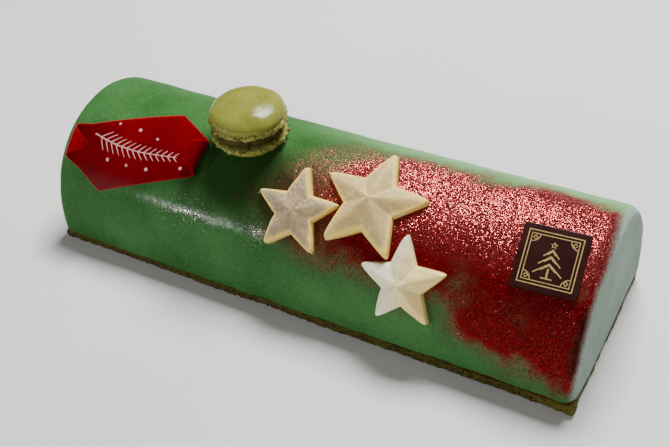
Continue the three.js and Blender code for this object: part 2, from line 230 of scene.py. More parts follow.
def glazed_log():
    """The grid laid over the log and closed by an underside, flat but for the skirt's rim. Low waves
    of three lengths swell the skin. The end faces bulge a little and are drawn together to a point
    by their shrink; the bare one gives way at its lower far corner. The marks say for each point how
    much of each kind of spray or flake lies there, and where shade, sheen and highlight are painted
    into the colour, with the values at the two ends' points last."""
    x, inset, shrink, way, arc = log_grid()
    x, inset, shrink, way = (v[:, None] for v in (x, inset, shrink, way))
    skin = over_log(x, arc[None, :], -inset)
    under = np.zeros((len(x), len(UNDERSIDE_Y), 3))
    under[..., 0] = x
    under[..., 1] = UNDERSIDE_Y * (1 - inset / HALF_WIDTH)
    foot = glaze_foot(x[:, 0])[:, None]
    under[..., 2] = np.where(inset > 0, np.minimum(foot, GLAZE_FOOT), GLAZE_FOOT)
    under[:, [0, -1], 2] = foot
    low = step(np.abs(arc)[None, :], QUARTER - 4, QUARTER + SIDE_DROP)
    skin[..., 2] += low * (foot - (SPRING - SIDE_DROP))
    swell = 0.16 * waves(skin, 60, 21) + 0.04 * waves(skin, 17, 22) + 0.008 * waves(skin, 5, 23)
    skin += over_log(x, arc[None, :], swell * (1 - low)) - over_log(x, arc[None, :], 0)
    points = np.concatenate([skin, under], 1)
    points[..., 1] *= shrink
    points[..., 2] = FACE_MIDDLE + (points[..., 2] - FACE_MIDDLE) * shrink
    face = step(np.abs(way), 127, 132)
    push = 0.45 * waves(points, 38, 24) + 0.15 * waves(points, 12, 25) - 0.3
    push -= (way > 0) * 1.6 * step(points[..., 1], 8, 42) * (1 - step(points[..., 2], 8, 36))
    points[..., 0] += face * np.sign(way) * push
    rows, columns = points.shape[:2]
    arc_of = np.concatenate([arc, np.linspace(-82, 82, len(UNDERSIDE_Y))])[None, :]
    way_of, arc_of = np.broadcast_arrays(way, arc_of)
    ends = points[[0, -1]].mean(1)
    red = red_cover(way_of, arc_of)
    # Whiter sparkle painted in the red towards the ridge: extra silver flakes as a painted highlight.
    white = red ** 2 * (0.02 + 0.09 * step(-arc_of, -44, -22))
    bare = step(way_of - spray_reach(arc_of), 122.5, 129.5) + 0.45 * step(-way_of, 129, 134)
    marks = {
        "back": (np.maximum(step(-arc_of, -6, 12), step(-way_of, 92, 118)), [1, 1]),
        # Painted sheen: the back of the ridge is painted paler for the light along the log's far side.
        "painted_sheen": (0.8 * step(-arc_of, -2, 20) * step(way_of, -45, 60), [0, 0]),
        "red": (red, [0, 0]),
        # Silver flakes: glitter along the lamp's gloss as a painted highlight, and whiter sparkle painted in
        # the red.
        "silver": (silver_and_highlight_streak(way_of, arc_of) + white, [0, 0]),
        # Painted shade: the shadow of the macaron and the tag's roll, and shade beside the bare end.
        "painted_shade": (painted_shade_patch(way_of, arc_of), [0, 0]),
        "stray": (step(-way_of - 0.4 * (arc_of - 30), -18, 12), [0, 0]),
        "bare": (bare, [0.45, 1]),
    }
    marks = {name: np.append(values, at_ends) for name, (values, at_ends) in marks.items()}
    return np.concatenate([points.reshape(-1, 3), ends]), capped(rows, columns, turned=True), marks


def finish(name, **settings):
    """A new material, with its shader's own sockets set by name; returns it and its node tree."""
    material = bpy.data.materials.new(name)
    material.use_nodes = True
    shader = material.node_tree.nodes["Principled BSDF"]
    for socket, value in settings.items():
        shader.inputs[socket.replace("_", " ")].default_value = value
    return material, material.node_tree


def wired(material, **sockets):
    """The material, once the sockets of its shader are linked, by name, to what the call gives."""
    tree = material.node_tree
    for socket, value in sockets.items():
        tree.links.new(value, tree.nodes["Principled BSDF"].inputs[socket.replace("_", " ")])
    return material


def node(tree, kind, inputs=None, **settings):
    """A shader node with its settings and inputs: a socket is linked, any other value is set."""
    new = tree.nodes.new("ShaderNode" + kind)
    for key, value in settings.items():
        setattr(new, key, value)
    for key, value in (inputs or {}).items():
        if isinstance(value, bpy.types.NodeSocket):
            tree.links.new(value, new.inputs[key])
        else:
            new.inputs[key].default_value = value
    return new


def place(tree):
    """The point's own place in the cake, in metres."""
    return node(tree, "TexCoord").outputs["Object"]


def noise(tree, size, detail=3.0, rough=0.5):
    """Cloudy noise from 0 to 1 with lumps of about size mm."""
    return node(tree, "TexNoise", {"Vector": place(tree), "Scale": 1000 / size, "Detail": detail,
                                   "Roughness": rough}).outputs["Fac"]


def cells(tree, size):
    """A random grey and a random colour for each of many little cells of about size mm."""
    cell = node(tree, "TexVoronoi", {"Vector": place(tree), "Scale": 1000 / size, "Randomness": 1.0})
    grey = node(tree, "SeparateColor", {"Color": cell.outputs["Color"]}).outputs["Red"]
    return grey, cell.outputs["Color"]


def sums(tree, operation, a, b=0.5, c=0.5):
    """One arithmetic step on values."""
    return node(tree, "Math", {0: a, 1: b, 2: c}, operation=operation).outputs[0]


def times(tree, a, b):
    """The product of two values."""
    return sums(tree, "MULTIPLY", a, b)


def ramp(tree, value, low, high):
    """0 below low, 1 above high and straight between them."""
    return node(tree, "MapRange", {"Value": value, "From Min": low, "From Max": high}).outputs[0]


def blend(tree, share, a, b):
    """Colour a turning into colour b as share goes from 0 to 1."""
    a, b = ((*c, 1) if isinstance(c, tuple) else c for c in (a, b))
    return node(tree, "Mix", {0: share, 6: a, 7: b}, data_type="RGBA").outputs[2]


def tint(tree, value, low, high, a, b):
    """Colour a where the value is below low, colour b above high, and blended between them."""
    return blend(tree, ramp(tree, value, low, high), a, b)


def towards_ridge(tree):
    """0 on the lower half of the log's flanks, 1 towards its ridge, where flakes catch the light."""
    height = node(tree, "SeparateXYZ", {"Vector": place(tree)}).outputs["Z"]
    return ramp(tree, height, *RIDGE_LIGHT)


def mark(tree, name):
    """A value that the mesh carries at its points."""
    return node(tree, "Attribute", attribute_name=name).outputs["Fac"]


def bump(tree, height, depth, strength=1.0, under=None):
    """Relief of a depth in mm; under is a relief that it lies on."""
    inputs = {"Height": height, "Distance": depth / 1000, "Strength": strength}
    if under is not None:
        inputs["Normal"] = under
    return node(tree, "Bump", inputs).outputs["Normal"]


def slanted(tree, normal, colour, share, amount):
    """The normal leaned by a random amount for each little cell, as far as share says: mostly little,
    seldom a lot, as the random vector is lengthened by its own length."""
    lean = node(tree, "VectorMath", {0: colour, 1: (0.5, 0.5, 0.5)}, operation="SUBTRACT").outputs[0]
    length = node(tree, "VectorMath", {0: lean}, operation="LENGTH").outputs["Value"]
    amount = times(tree, length, 2.2 * amount)
    lean = node(tree, "VectorMath", {0: lean, "Scale": times(tree, share, amount)},
                operation="SCALE").outputs[0]
    lean = node(tree, "VectorMath", {0: normal, 1: lean}, operation="ADD").outputs[0]
    return node(tree, "VectorMath", {0: lean}, operation="NORMALIZE").outputs[0]


def glaze_finish():
    """Green spray with a painted sheen along the back, then red spray and patches of painted shade over
    it, flakes in little cells painted brighter towards the ridge as a painted highlight, silver ones
    along the lamp's gloss, partly a painted highlight, and the bare end, each by the mark that the mesh
    carries for it and roughened at its border by noise."""
    material, tree = finish("sprayed_glaze", Specular_IOR_Level=0.03)
    shade = ramp(tree, noise(tree, 42, 4), 0.32, 0.68)
    green = blend(tree, shade, (0.026, 0.096, 0.022), (0.056, 0.166, 0.049))
    speck, _ = cells(tree, 0.6)
    for ends, fleck_colour in (((0.80, 1.0), (0.09, 0.24, 0.06)), ((0.22, 0.0), (0.01, 0.04, 0.006))):
        green = blend(tree, times(tree, ramp(tree, speck, *ends), 0.35), green, fleck_colour)
    # Painted sheen: paler green along the back for the light along the far side.
    green = blend(tree, mark(tree, "painted_sheen"), green, (0.20, 0.40, 0.17))
    red = mark(tree, "red")
    grain, _ = cells(tree, 0.26)
    fleck, _ = cells(tree, 0.7)
    tone = sums(tree, "ADD", times(tree, grain, 0.6), times(tree, fleck, 0.4))
    redden = tint(tree, tone, 0.15, 0.95, (0.018, 0.0, 0.001), (0.150, 0.0, 0.003))
    thinly = tint(tree, tone, 0.15, 0.95, (0.018, 0.010, 0.004), (0.100, 0.028, 0.016))
    olive = tint(tree, tone, 0.25, 0.85, (0.014, 0.016, 0.004), (0.17, 0.13, 0.060))
    thinly = blend(tree, mark(tree, "stray"), thinly, olive)
    # The painted sheen also pales thin red spray along the back.
    thinly = blend(tree, mark(tree, "painted_sheen"), thinly, (0.20, 0.13, 0.08))
    redden = tint(tree, red, 0.40, 0.90, thinly, redden)
    drift = sums(tree, "MULTIPLY_ADD", noise(tree, 7, 4, 0.65), 0.5, -0.25)
    cover = sums(tree, "ADD", sums(tree, "MULTIPLY_ADD", red, 1.5, -0.12), drift)
    cover = ramp(tree, sums(tree, "SUBTRACT", cover, grain), -0.32, 0.28)
    cover = times(tree, cover, ramp(tree, red, 0.01, 0.12))
    colour = blend(tree, cover, green, redden)
    # Painted shade: darker green or red where the macaron and the tag's roll cast shadow, and beside the
    # bare end.
    painted_shade = mark(tree, "painted_shade")
    dark = tint(tree, red, 0.2, 0.5, (0.010, 0.026, 0.004), (0.014, 0.003, 0.002))
    colour = blend(tree, times(tree, painted_shade, 0.75), colour, dark)
    spot, slant = cells(tree, 0.25)
    red_flake = times(tree, ramp(tree, spot, 0.52, 0.60), cover)
    red_flake = times(tree, red_flake, ramp(tree, red, 0.05, 0.6))
    # Fewer red flakes where shade is painted.
    red_flake = times(tree, red_flake, ramp(tree, painted_shade, 1.2, 0.0))
    # Flakes painted brighter towards the ridge, where they catch the light: a painted highlight.
    flaked = blend(tree, towards_ridge(tree), (0.30, 0.006, 0.008), (0.56, 0.085, 0.080))
    flaked = tint(tree, red, 0.25, 0.8, (0.30, 0.17, 0.10), flaked)
    colour = blend(tree, red_flake, colour, flaked)
    # Silver flakes: pale colour along the lamp's gloss and in the red towards the ridge, partly a painted
    # highlight.
    silver = sums(tree, "SUBTRACT", mark(tree, "silver"), sums(tree, "SUBTRACT", 1.0, spot))
    silver_flake = ramp(tree, silver, 0.0, 0.03)
    clear = tint(tree, red, 0.1, 0.4, (0.42, 0.43, 0.36), (0.50, 0.16, 0.14))
    colour = blend(tree, silver_flake, colour, clear)
    flake = sums(tree, "MAXIMUM", red_flake, silver_flake)
    bare = ramp(tree, sums(tree, "ADD", mark(tree, "bare"),
                           sums(tree, "MULTIPLY_ADD", noise(tree, 14, 4, 0.6), 0.5, -0.25)), 0.1, 0.9)
    pale = tint(tree, noise(tree, 30, 2), 0.3, 0.7, (0.23, 0.32, 0.25), (0.33, 0.41, 0.36))
    colour = blend(tree, bare, colour, pale)
    dull = sums(tree, "MAXIMUM", sums(tree, "MAXIMUM", cover, mark(tree, "bare")), mark(tree, "back"))
    dull = times(tree, dull, sums(tree, "SUBTRACT", 0.40, times(tree, flake, 0.40)))
    rough = sums(tree, "ADD", sums(tree, "MULTIPLY_ADD", noise(tree, 9, 3), 0.05, 0.12), dull)
    metal = sums(tree, "MAXIMUM", times(tree, red_flake, 0.7), silver_flake)
    peel = bump(tree, noise(tree, 1.6, 2), 0.02, 0.5)
    grit = bump(tree, times(tree, grain, cover), 0.10, 0.8, peel)
    return wired(material, Base_Color=colour, Roughness=rough, Metallic=metal,
                 Normal=slanted(tree, grit, slant, flake, 0.6))


glaze = glaze_finish()
log_points, log_faces, log_marks = glazed_log()
made("log_glaze", log_points, log_faces, "glaze", glaze, ["glazed_log"], marks=log_marks)


# The sponge: a thin sheet of dark cake under the mousse, cut square with a knife. It shows as a brown
# strip below the glaze and as a bare corner at the square's end.
SPONGE_TOP = 4.05
SPONGE_LEFT = -126.5
SPONGE_RIGHT = 128.6
SPONGE_SIDE = 45.6
SPONGE_SKEW = 0.03
BACK_SHIFT = 2.4
WORN_CORNER = 8.0


def sponge_sheet():
    """A closed block: its outline's points, about 1 mm apart, at heights from the floor to the top,
    pushed in and out by crumbs, with the far corner at the square's end worn round, and an inner ring
    of the same outline above and below from which fans close the top and the bottom."""
    long_side = np.linspace(SPONGE_LEFT, SPONGE_RIGHT, 240)[:-1]
    short_side = np.linspace(-SPONGE_SIDE, SPONGE_SIDE, 84)[:-1]
    skewed = SPONGE_RIGHT - SPONGE_SKEW * short_side
    whole = np.full(len(long_side), SPONGE_SIDE)
    x = np.concatenate([long_side, skewed, BACK_SHIFT - long_side, np.full(len(short_side), SPONGE_LEFT)])
    y = np.concatenate([-whole, short_side, whole, -short_side])
    height = np.array([0, 0, 0.25, 0.9, 1.7, 2.5, 3.3, 3.85, SPONGE_TOP, SPONGE_TOP])
    inward = np.array([3.0, 0.35, 0.05, 0, 0, 0, 0, 0.08, 0.35, 3.0])
    points = np.stack(np.broadcast_arrays(x[None, :], y[None, :], height[:, None]), -1).astype(float)
    off = points[..., :2] - [SPONGE_RIGHT - WORN_CORNER, SPONGE_SIDE - WORN_CORNER]
    reach = np.maximum(np.linalg.norm(off, axis=-1, keepdims=True) / WORN_CORNER, 1)
    points[..., :2] -= np.where((off > 0).all(-1, keepdims=True), off - off / reach, 0)
    crumb = 0.16 * waves(points, 3.1, 31) + 0.14 * waves(points, 1.5, 32) - 0.3
    drift = 0.25 * waves(points * [1, 1, 0], 30, 33) - 0.25
    depth = inward[:, None] - np.minimum(crumb + drift, 0)
    points[..., 0] -= np.sign(x) * depth * (np.abs(y) < SPONGE_SIDE + 1) * step(np.abs(x), 120, 127)
    points[..., 1] -= np.sign(y) * depth * step(np.abs(y), 38, 45)
    points[..., 2] += np.where((height > 3)[:, None], 0.1 * waves(points, 4, 34), 0)
    rows, columns = points.shape[:2]
    ends = np.array([[1.2, 0, 0], [1.2, 0, SPONGE_TOP]])
    points = np.concatenate([points.reshape(-1, 3), ends])
    # The last value is painted light: 1 towards the square's end.
    return points, capped(rows, columns), step(points[:, 0], 104, 126)


def sponge_finish():
    """Brown crumb, painted lighter towards the square's end as painted light on the bare corner, with
    dark pores that are painted shade in the crumb's holes.
    """
    material, tree = finish("dark_sponge", Roughness=0.9, Specular_IOR_Level=0.25)
    crumb = noise(tree, 1.6, 5, 0.7)
    colour = tint(tree, crumb, 0.3, 0.7, (0.020, 0.016, 0.002), (0.110, 0.088, 0.014))
    light = tint(tree, crumb, 0.3, 0.7, (0.034, 0.027, 0.003), (0.200, 0.155, 0.024))
    # Painted light: the sponge is lighter towards the square's end, where its corner lies open to the light.
    colour = blend(tree, mark(tree, "cut"), colour, light)
    pores, _ = cells(tree, 0.8)
    # Dark pores: painted shade in the crumb's holes.
    colour = tint(tree, pores, 0.78, 0.95, colour, (0.012, 0.008, 0.002))
    return wired(material, Base_Color=colour, Normal=bump(tree, crumb, 0.7, 0.9))


sponge_points, sponge_faces, sponge_painted_light = sponge_sheet()
made("sponge_sheet", sponge_points, sponge_faces, "sponge", sponge_finish(), ["sponge_base"],
     marks={"cut": sponge_painted_light})


# The macaron: two piped almond shells, baked so that each has a smooth dome and a ruffled foot, stuck
# together with a dark filling and pressed into the glaze near the ridge, leaning a little forward.
MACARON_MIDDLE = np.array([-34.7, -7.75, 67.4])
MACARON_LEAN = Matrix.Rotation(math.radians(3.8), 3, "X") @ Matrix.Rotation(math.radians(2.7), 3, "Y")
SHELL_LIFT = 2.45
TOP_SHELL = [[0, 0], [14.2, 0], [16.3, 0.1], [17.05, 0.7], [17.2, 1.4], [16.9, 2.2], [16.1, 2.7],
             [15.7, 3.0], [16.2, 3.35], [16.55, 3.9], [16.5, 4.6], [16.0, 5.5], [14.9, 6.7], [13.0, 7.8],
             [10.4, 8.75], [7.0, 9.4], [3.5, 9.68], [0, 9.75]]
BOTTOM_SHELL = [[0, 0], [14.2, 0], [16.3, 0.1], [16.95, 0.6], [17.1, 1.2], [16.8, 1.9], [15.9, 2.4],
                [15.4, 2.7], [15.7, 3.1], [15.6, 3.6], [14.9, 4.4], [13.0, 5.6], [9.5, 6.4], [0, 6.8]]
FILLING = [[0, -2.3], [13.0, -2.3], [14.9, -2.1], [15.5, -1.2], [15.6, 0], [15.5, 1.2], [14.9, 2.1],
           [13.0, 2.3], [0, 2.3]]


def along(profile, count):
    """The profile's corners joined by a smooth line: count points evenly spaced by length, each
    averaged three times with its neighbours."""
    profile = np.asarray(profile, float)
    length = np.append(0, np.cumsum(np.linalg.norm(np.diff(profile, axis=0), axis=1)))
    line = np.stack([np.interp(np.linspace(0, length[-1], count), length, p) for p in profile.T], -1)
    for _ in range(3):
        line[1:-1] = (line[:-2] + 2 * line[1:-1] + line[2:]) / 4
    return line


def thrown(profile, rows, columns):
    """A closed shape turned about Z: points (r cos a, r sin a, z) with a pole at each end."""
    line = along(profile, rows + 2)[1:-1]
    angle = np.linspace(0, 2 * math.pi, columns, endpoint=False)
    r, z = line[:, 0][:, None], line[:, 1][:, None]
    ring = np.stack(np.broadcast_arrays(r * np.cos(angle), r * np.sin(angle), z), -1)
    poles = np.array([[0, 0, profile[0][1]], [0, 0, profile[-1][1]]], float)
    return ring, capped(rows, columns), poles


def on_macaron(points, height, flipped=False):
    """Carries a part of the macaron to its place on the log; flipped turns it upside down."""
    if flipped:
        points = points * [1, -1, -1]
    return (points + [0, 0, height]) @ np.array(MACARON_LEAN).T + MACARON_MIDDLE


def shell(profile, seed):
    """A shell: its foot, below 3 mm, swells outwards in many small folds of random waves, and its
    dome stays smooth but for faint dents."""
    ring, faces, poles = thrown(profile, 84, 300)
    radius = np.hypot(ring[..., 0], ring[..., 1])
    foot = step(3.1 - ring[..., 2], 0, 0.9) * step(radius, 12.5, 15.5)
    ruffle = (0.34 * waves(ring, 4.2, seed) + 0.20 * np.abs(waves(ring, 2.2, seed + 1))
              + 0.05 * waves(ring, 1.1, seed + 2) - 0.15)
    dent = 0.07 * waves(ring, 12, seed + 3) + 0.025 * waves(ring, 4.5, seed + 4)
    out = np.where(foot > 0, foot * ruffle, 0) + (1 - foot) * dent * step(radius, 0, 4)
    ring[..., :2] *= (1 + out / np.maximum(radius, 1))[..., None]
    ring[..., 2] += foot * 0.3 * waves(ring, 2.8, seed + 5) * step(ring[..., 2], 0.05, 0.6)
    ring[..., 2] += (1 - foot) * 0.05 * waves(ring, 9, seed + 6) * step(ring[..., 2], 4, 6)
    feet = np.append(foot.ravel(), [1, 0])
    return np.concatenate([ring.reshape(-1, 3), poles]), faces, feet


def macaron_finish():
    """A mottled green dome with a dull gloss and few specks; its ruffled foot is crumbly and matt, and
    its tone runs down to a dark brown that is painted shade in its folds.
    """
    material, tree = finish("pistachio_shell", Specular_IOR_Level=0.18, Subsurface_Weight=0.06,
                            Subsurface_Radius=(0.004, 0.003, 0.001), Subsurface_Scale=0.5)
    foot = mark(tree, "foot")
    mottle = noise(tree, 9, 5, 0.6)
    dome = tint(tree, mottle, 0.3, 0.7, (0.165, 0.172, 0.026), (0.250, 0.250, 0.046))
    speck, _ = cells(tree, 0.5)
    dome = blend(tree, times(tree, ramp(tree, speck, 0.93, 0.98), 0.5), dome, (0.12, 0.09, 0.02))
    # The foot's dark brown end is painted shade in its folds.
    ruffled = tint(tree, noise(tree, 1.5, 4, 0.7), 0.35, 0.65,
                    (0.085, 0.072, 0.012), (0.38, 0.36, 0.085))
    rough = sums(tree, "MULTIPLY_ADD", foot, 0.42, sums(tree, "MULTIPLY_ADD", mottle, 0.26, 0.06))
    skin = bump(tree, noise(tree, 0.8, 3, 0.6), 0.06, 0.5)
    crumb = times(tree, noise(tree, 0.9, 4, 0.75), foot)
    return wired(material, Base_Color=blend(tree, foot, dome, ruffled), Roughness=rough,
                 Normal=bump(tree, crumb, 0.5, 0.8, skin))


def filling_finish():
    """A dark, slightly lumpy paste."""
    material, tree = finish("dark_filling", Roughness=0.6, Specular_IOR_Level=0.15)
    lump = noise(tree, 2.4, 4)
    colour = tint(tree, lump, 0.3, 0.7, (0.018, 0.014, 0.002), (0.062, 0.048, 0.008))
    return wired(material, Base_Color=colour, Normal=bump(tree, lump, 0.6, 0.8))


macaron_shell = macaron_finish()
upper, upper_faces, upper_foot = shell(TOP_SHELL, 41)
made("macaron_top", on_macaron(upper, SHELL_LIFT), upper_faces, "macaron_shell",
     macaron_shell, ["macaron_top_shell"], marks={"foot": upper_foot})
lower, lower_faces, lower_foot = shell(BOTTOM_SHELL, 61)
made("macaron_bottom", on_macaron(lower, -SHELL_LIFT, flipped=True), lower_faces,
     "macaron_shell", macaron_shell, ["macaron_bottom_shell"], marks={"foot": lower_foot})
cream, cream_faces, cream_poles = thrown(FILLING, 30, 160)
cream[..., :2] *= (1 + 0.02 * waves(cream, 5, 81))[..., None]
made("macaron_cream", on_macaron(np.concatenate([cream.reshape(-1, 3), cream_poles]), 0), cream_faces,
     "macaron_filling", filling_finish(), ["macaron_filling"])


# The stars: ivory chocolate cast in five-pointed moulds, with a ridge to each tip, dusted with silver
# powder and pressed into the glaze while it was soft, so that they sag a little round the log.
STARS = {
    "star_left": dict(x=1.0, arc=34.9, turn=94.3, tip=19.9, notch=8.9, peak=4.6),
    "star_large": dict(x=32.3, arc=22.6, turn=89.6, tip=24.9, notch=11.4, peak=7.2),
    "star_right": dict(x=54.9, arc=49.6, turn=98.5, tip=19.6, notch=8.8, peak=6.8),
}
STAR_DUST = {"star_left": 1.1, "star_large": 0.72, "star_right": 0.08}
STAR_RIM = 2.7
STAR_SUNK = 1.2
STAR_SAG_RADIUS = 94.0
STAR_EDGE = 0.55
STAR_RINGS = 34
# Where the right star's painted light fades out, in mm along the log.
LIT_SIDE_FADE = (42, 64)


def lean_at(arc):
    """Angle by which the log's surface leans forward at an arc: that of the ellipse's normal."""
    return math.atan2(math.sin(arc / MEAN_RADIUS) / HALF_WIDTH, math.cos(arc / MEAN_RADIUS) / RISE)


def star_radius(angle, tip, notch, blunt):
    """Radius of the star's outline: straight lines between tips and notches, by the law of sines,
    with the angle from the tip softened by a small hyperbola so that the tips are blunt."""
    half = math.pi / 5
    across = np.abs((angle + half) % (2 * half) - half)
    side = np.minimum(np.hypot(across, blunt) - 0.45 * blunt, half - 0.5 * blunt)
    return tip * notch * math.sin(half) / (tip * np.sin(side) + notch * np.sin(half - side))


def star(x, arc, turn, tip, notch, peak):
    """Rings of the outline, shrinking towards the peak above and towards the middle below. A ring's
    height grows with its distance from the rim; the rim's edge is rounded."""
    angle = np.linspace(0, 2 * math.pi, 400, endpoint=False)
    rim = np.linspace(0, math.pi / 2, 6)[:-1]
    slope = np.linspace(0.96, 0.02, STAR_RINGS)
    share = np.concatenate([[0.5, 1.0, 1.0], 1 - 0.04 * (1 - np.cos(rim)), slope])
    blunt = 0.05 + np.where(np.arange(len(share)) > 7, 0.16 * (1 - share) ** 1.5, 0)
    edge = star_radius(angle, tip, notch, blunt[:, None])
    wall = STAR_RIM - STAR_EDGE
    height = np.concatenate([[-STAR_SUNK, -STAR_SUNK, 0.5 * wall], wall + STAR_EDGE * np.sin(rim),
                             STAR_RIM + (peak - STAR_RIM) * np.linspace(0, 0.985, STAR_RINGS) ** 0.94])
    draft = np.concatenate([[0, 0.7, 0.4], 0.15 * (1 - np.sin(rim)), 0 * slope])
    radius = share[:, None] * edge + draft[:, None]
    heading = angle + math.radians(turn)
    points = np.stack(np.broadcast_arrays(radius * np.cos(heading), radius * np.sin(heading),
                                          height[:, None]), -1)
    points[..., 2] += 0.10 * waves(points + x, 7, 91) + 0.03 * waves(points + x, 2.2, 92)
    points[..., 2] -= points[..., 1] ** 2 / (2 * STAR_SAG_RADIUS)
    rows, columns = points.shape[:2]
    points = np.concatenate([points.reshape(-1, 3), [[0, 0, -STAR_SUNK], [0, 0, peak]]])
    rubbed = np.append(np.repeat(step(share, 0.74, 1.04), columns), [1, 0])
    tilt = np.array(Matrix.Rotation(lean_at(arc), 3, "X"))
    return points @ tilt.T + over_log(x, arc), capped(rows, columns), rubbed


def star_finish(name, gloss, rough):
    """Ivory chocolate in two shades, painted near white where the mesh says so as painted light on a
    lit side, under clouds of fine silver dust that is rubbed off along the rim."""
    material, tree = finish(name, Specular_IOR_Level=gloss, Subsurface_Weight=0.08,
                            Subsurface_Radius=(0.004, 0.003, 0.002), Subsurface_Scale=0.5)
    rubbed = mark(tree, "rubbed")
    wide = times(tree, noise(tree, 7, 4, 0.6), 0.6)
    cloud = sums(tree, "MULTIPLY_ADD", noise(tree, 1.3, 3), 0.5, wide)
    ivory = tint(tree, cloud, 0.3, 0.7, (0.99, 0.64, 0.12), (0.99, 0.76, 0.22))
    # Painted light: near white where the mark says the side is lit.
    ivory = blend(tree, mark(tree, "painted_lit_side"), ivory, (0.99, 0.99, 0.74))
    speck, colour = cells(tree, 0.22)
    silver = blend(tree, speck, (0.21, 0.158, 0.108), (0.48, 0.370, 0.268))
    dust = ramp(tree, sums(tree, "SUBTRACT", cloud, times(tree, rubbed, 0.45)), 0.12, 0.52)
    dust = times(tree, dust, ramp(tree, speck, -0.25, 0.4))
    dust = times(tree, dust, mark(tree, "dusted"))
    flake = times(tree, dust, ramp(tree, speck, 0.72, 0.80))
    soft = bump(tree, noise(tree, 2.5, 3), 0.12, 0.5)
    return wired(material, Base_Color=blend(tree, dust, ivory, silver), Metallic=times(tree, flake, 0.35),
                 Roughness=sums(tree, "MULTIPLY_ADD", flake, -0.25, rough),
                 Normal=slanted(tree, bump(tree, speck, 0.08, 0.8, soft), colour, flake, 0.7))


silvered = star_finish("silvered_ivory", 0.08, 0.5)
glossy_ivory = star_finish("glossy_ivory", 0.5, 0.22)
for star_name, sizes in STARS.items():
    star_points, star_faces, star_rubbed = star(**sizes)
    dusted = np.full(len(star_points), STAR_DUST[star_name])
    right_one = star_name == "star_right"
    # The right star's left side is painted near white: painted light from the lamp on the left.
    painted_lit_side = (1 - 0.86 * step(star_points[:, 0], *LIT_SIDE_FADE)) * right_one
    material = glossy_ivory if right_one else silvered
    made("ivory_" + star_name, star_points, star_faces, "star", material, [star_name],
         marks={"rubbed": star_rubbed, "dusted": dusted, "painted_lit_side": painted_lit_side})


# The tag: a slanted four-sided piece cut from a thin red sugar sheet, laid round the log, with a fir
# twig and dots painted on it. Its two sharp corners are rolled up and inwards, the one beside the
# macaron more tightly.
TAG_CORNERS = {"left": (-136.8, 32.9), "back": (-72.8, 5.6),
               "right": (-32.8, 26.0), "front": (-101.3, 52.3)}
TAG_MIDDLE = np.array([-86.0, 29.0])
TAG_HEADING = math.radians(3)
TAG_TIP_CUT = 0.9
TAG_THICKNESS = 0.7
TAG_REST = 0.3 + TAG_THICKNESS / 2
LEFT_ROLL = dict(flap=21.9, first=4.6, last=3.7)
RIGHT_ROLL = dict(flap=21.0, first=3.9, last=2.6)
tag_turn = np.array([[math.cos(TAG_HEADING), math.sin(TAG_HEADING)],
                     [-math.sin(TAG_HEADING), math.cos(TAG_HEADING)]])
tag_corner = {k: tag_turn @ (np.array(v) - TAG_MIDDLE) for k, v in TAG_CORNERS.items()}


def rolled(length, flap, first, last):
    """Where a strip has got to after a length when it curls in a radius that shrinks from first to
    last: the running sums of cos and sin of the angle, which itself is the sum of length / radius."""
    fine = np.linspace(0, flap, 400)
    middle = (fine[1:] + fine[:-1]) / 2
    bend = np.diff(fine) / (first + (last - first) * middle / flap)
    angle = np.append(0, np.cumsum(bend))
    half = (angle[1:] + angle[:-1]) / 2
    out = np.append(0, np.cumsum(np.cos(half) * np.diff(fine)))
    up = np.append(0, np.cumsum(np.sin(half) * np.diff(fine)))
    return [np.interp(length, fine, v) for v in (out, up, angle)]


def tag_edges(b):
    """How far across the sheet its back and its front edge lie at b mm along it."""
    return (np.interp(b, *np.array([tag_corner["left"], tag_corner[side], tag_corner["right"]]).T)
            for side in ("back", "front"))


def on_tag(b, share, lift):
    """Points of the sheet: b mm along it, a share of the way from its back edge to its front edge,
    and lift mm above its middle layer. Past a fold the sheet follows its roll."""
    b, share, lift = np.broadcast_arrays(np.asarray(b, float), share, lift)
    back, front = tag_edges(b)
    across = back + (front - back) * share
    flat_left = -tag_corner["left"][0] - TAG_TIP_CUT - LEFT_ROLL["flap"]
    flat_right = tag_corner["right"][0] - TAG_TIP_CUT - RIGHT_ROLL["flap"]
    left = rolled(np.maximum(-b - flat_left, 0), **LEFT_ROLL)
    right = rolled(np.maximum(b - flat_right, 0), **RIGHT_ROLL)
    out, up, angle = (np.where(b < 0, l, r) for l, r in zip(left, right))
    flat = np.where(b < 0, np.minimum(-b, flat_left), np.minimum(b, flat_right))
    reach = np.sign(b) * (flat + out - lift * np.sin(angle))
    spot = np.stack([reach, across], -1) @ tag_turn + TAG_MIDDLE
    return over_log(spot[..., 0], spot[..., 1], TAG_REST + up + lift * np.cos(angle))


def tag_sheet():
    """Rows along the tag, each a loop over the upper face and back along the lower one, closed at
    both ends by a strip. Its mark is painted light: on the rim, and on the left roll as far as it
    shows its underside."""
    left, right = tag_corner["left"][0] + TAG_TIP_CUT, tag_corner["right"][0] - TAG_TIP_CUT
    bends = [tag_corner["back"][0], tag_corner["front"][0]]
    b = np.sort(np.concatenate([np.linspace(left, right, 220), bends]))
    share = np.concatenate([[0, 0.008], np.linspace(0.025, 0.975, 36), [0.992, 1]])
    count, half = len(share), TAG_THICKNESS / 2
    share, lift = np.concatenate([share, share[::-1]]), np.repeat([half, -half], count)
    points = on_tag(b[:, None], share[None, :], lift[None, :])
    rows, columns = points.shape[:2]
    strip = net(2, count)
    strip = np.where(strip < count, strip, 3 * count - 1 - strip)
    last = (rows - 1) * columns
    faces = [net(rows, columns, close_columns=True), strip[:, ::-1], strip + last]
    # Painted light on the rim and on the left roll.
    rim = 0.6 * (np.abs(share - 0.5) > 0.49)[None, :] + 0.8 * step(-b, -left - 17, -left - 12)[:, None]
    return points, faces, np.minimum(rim, 1)


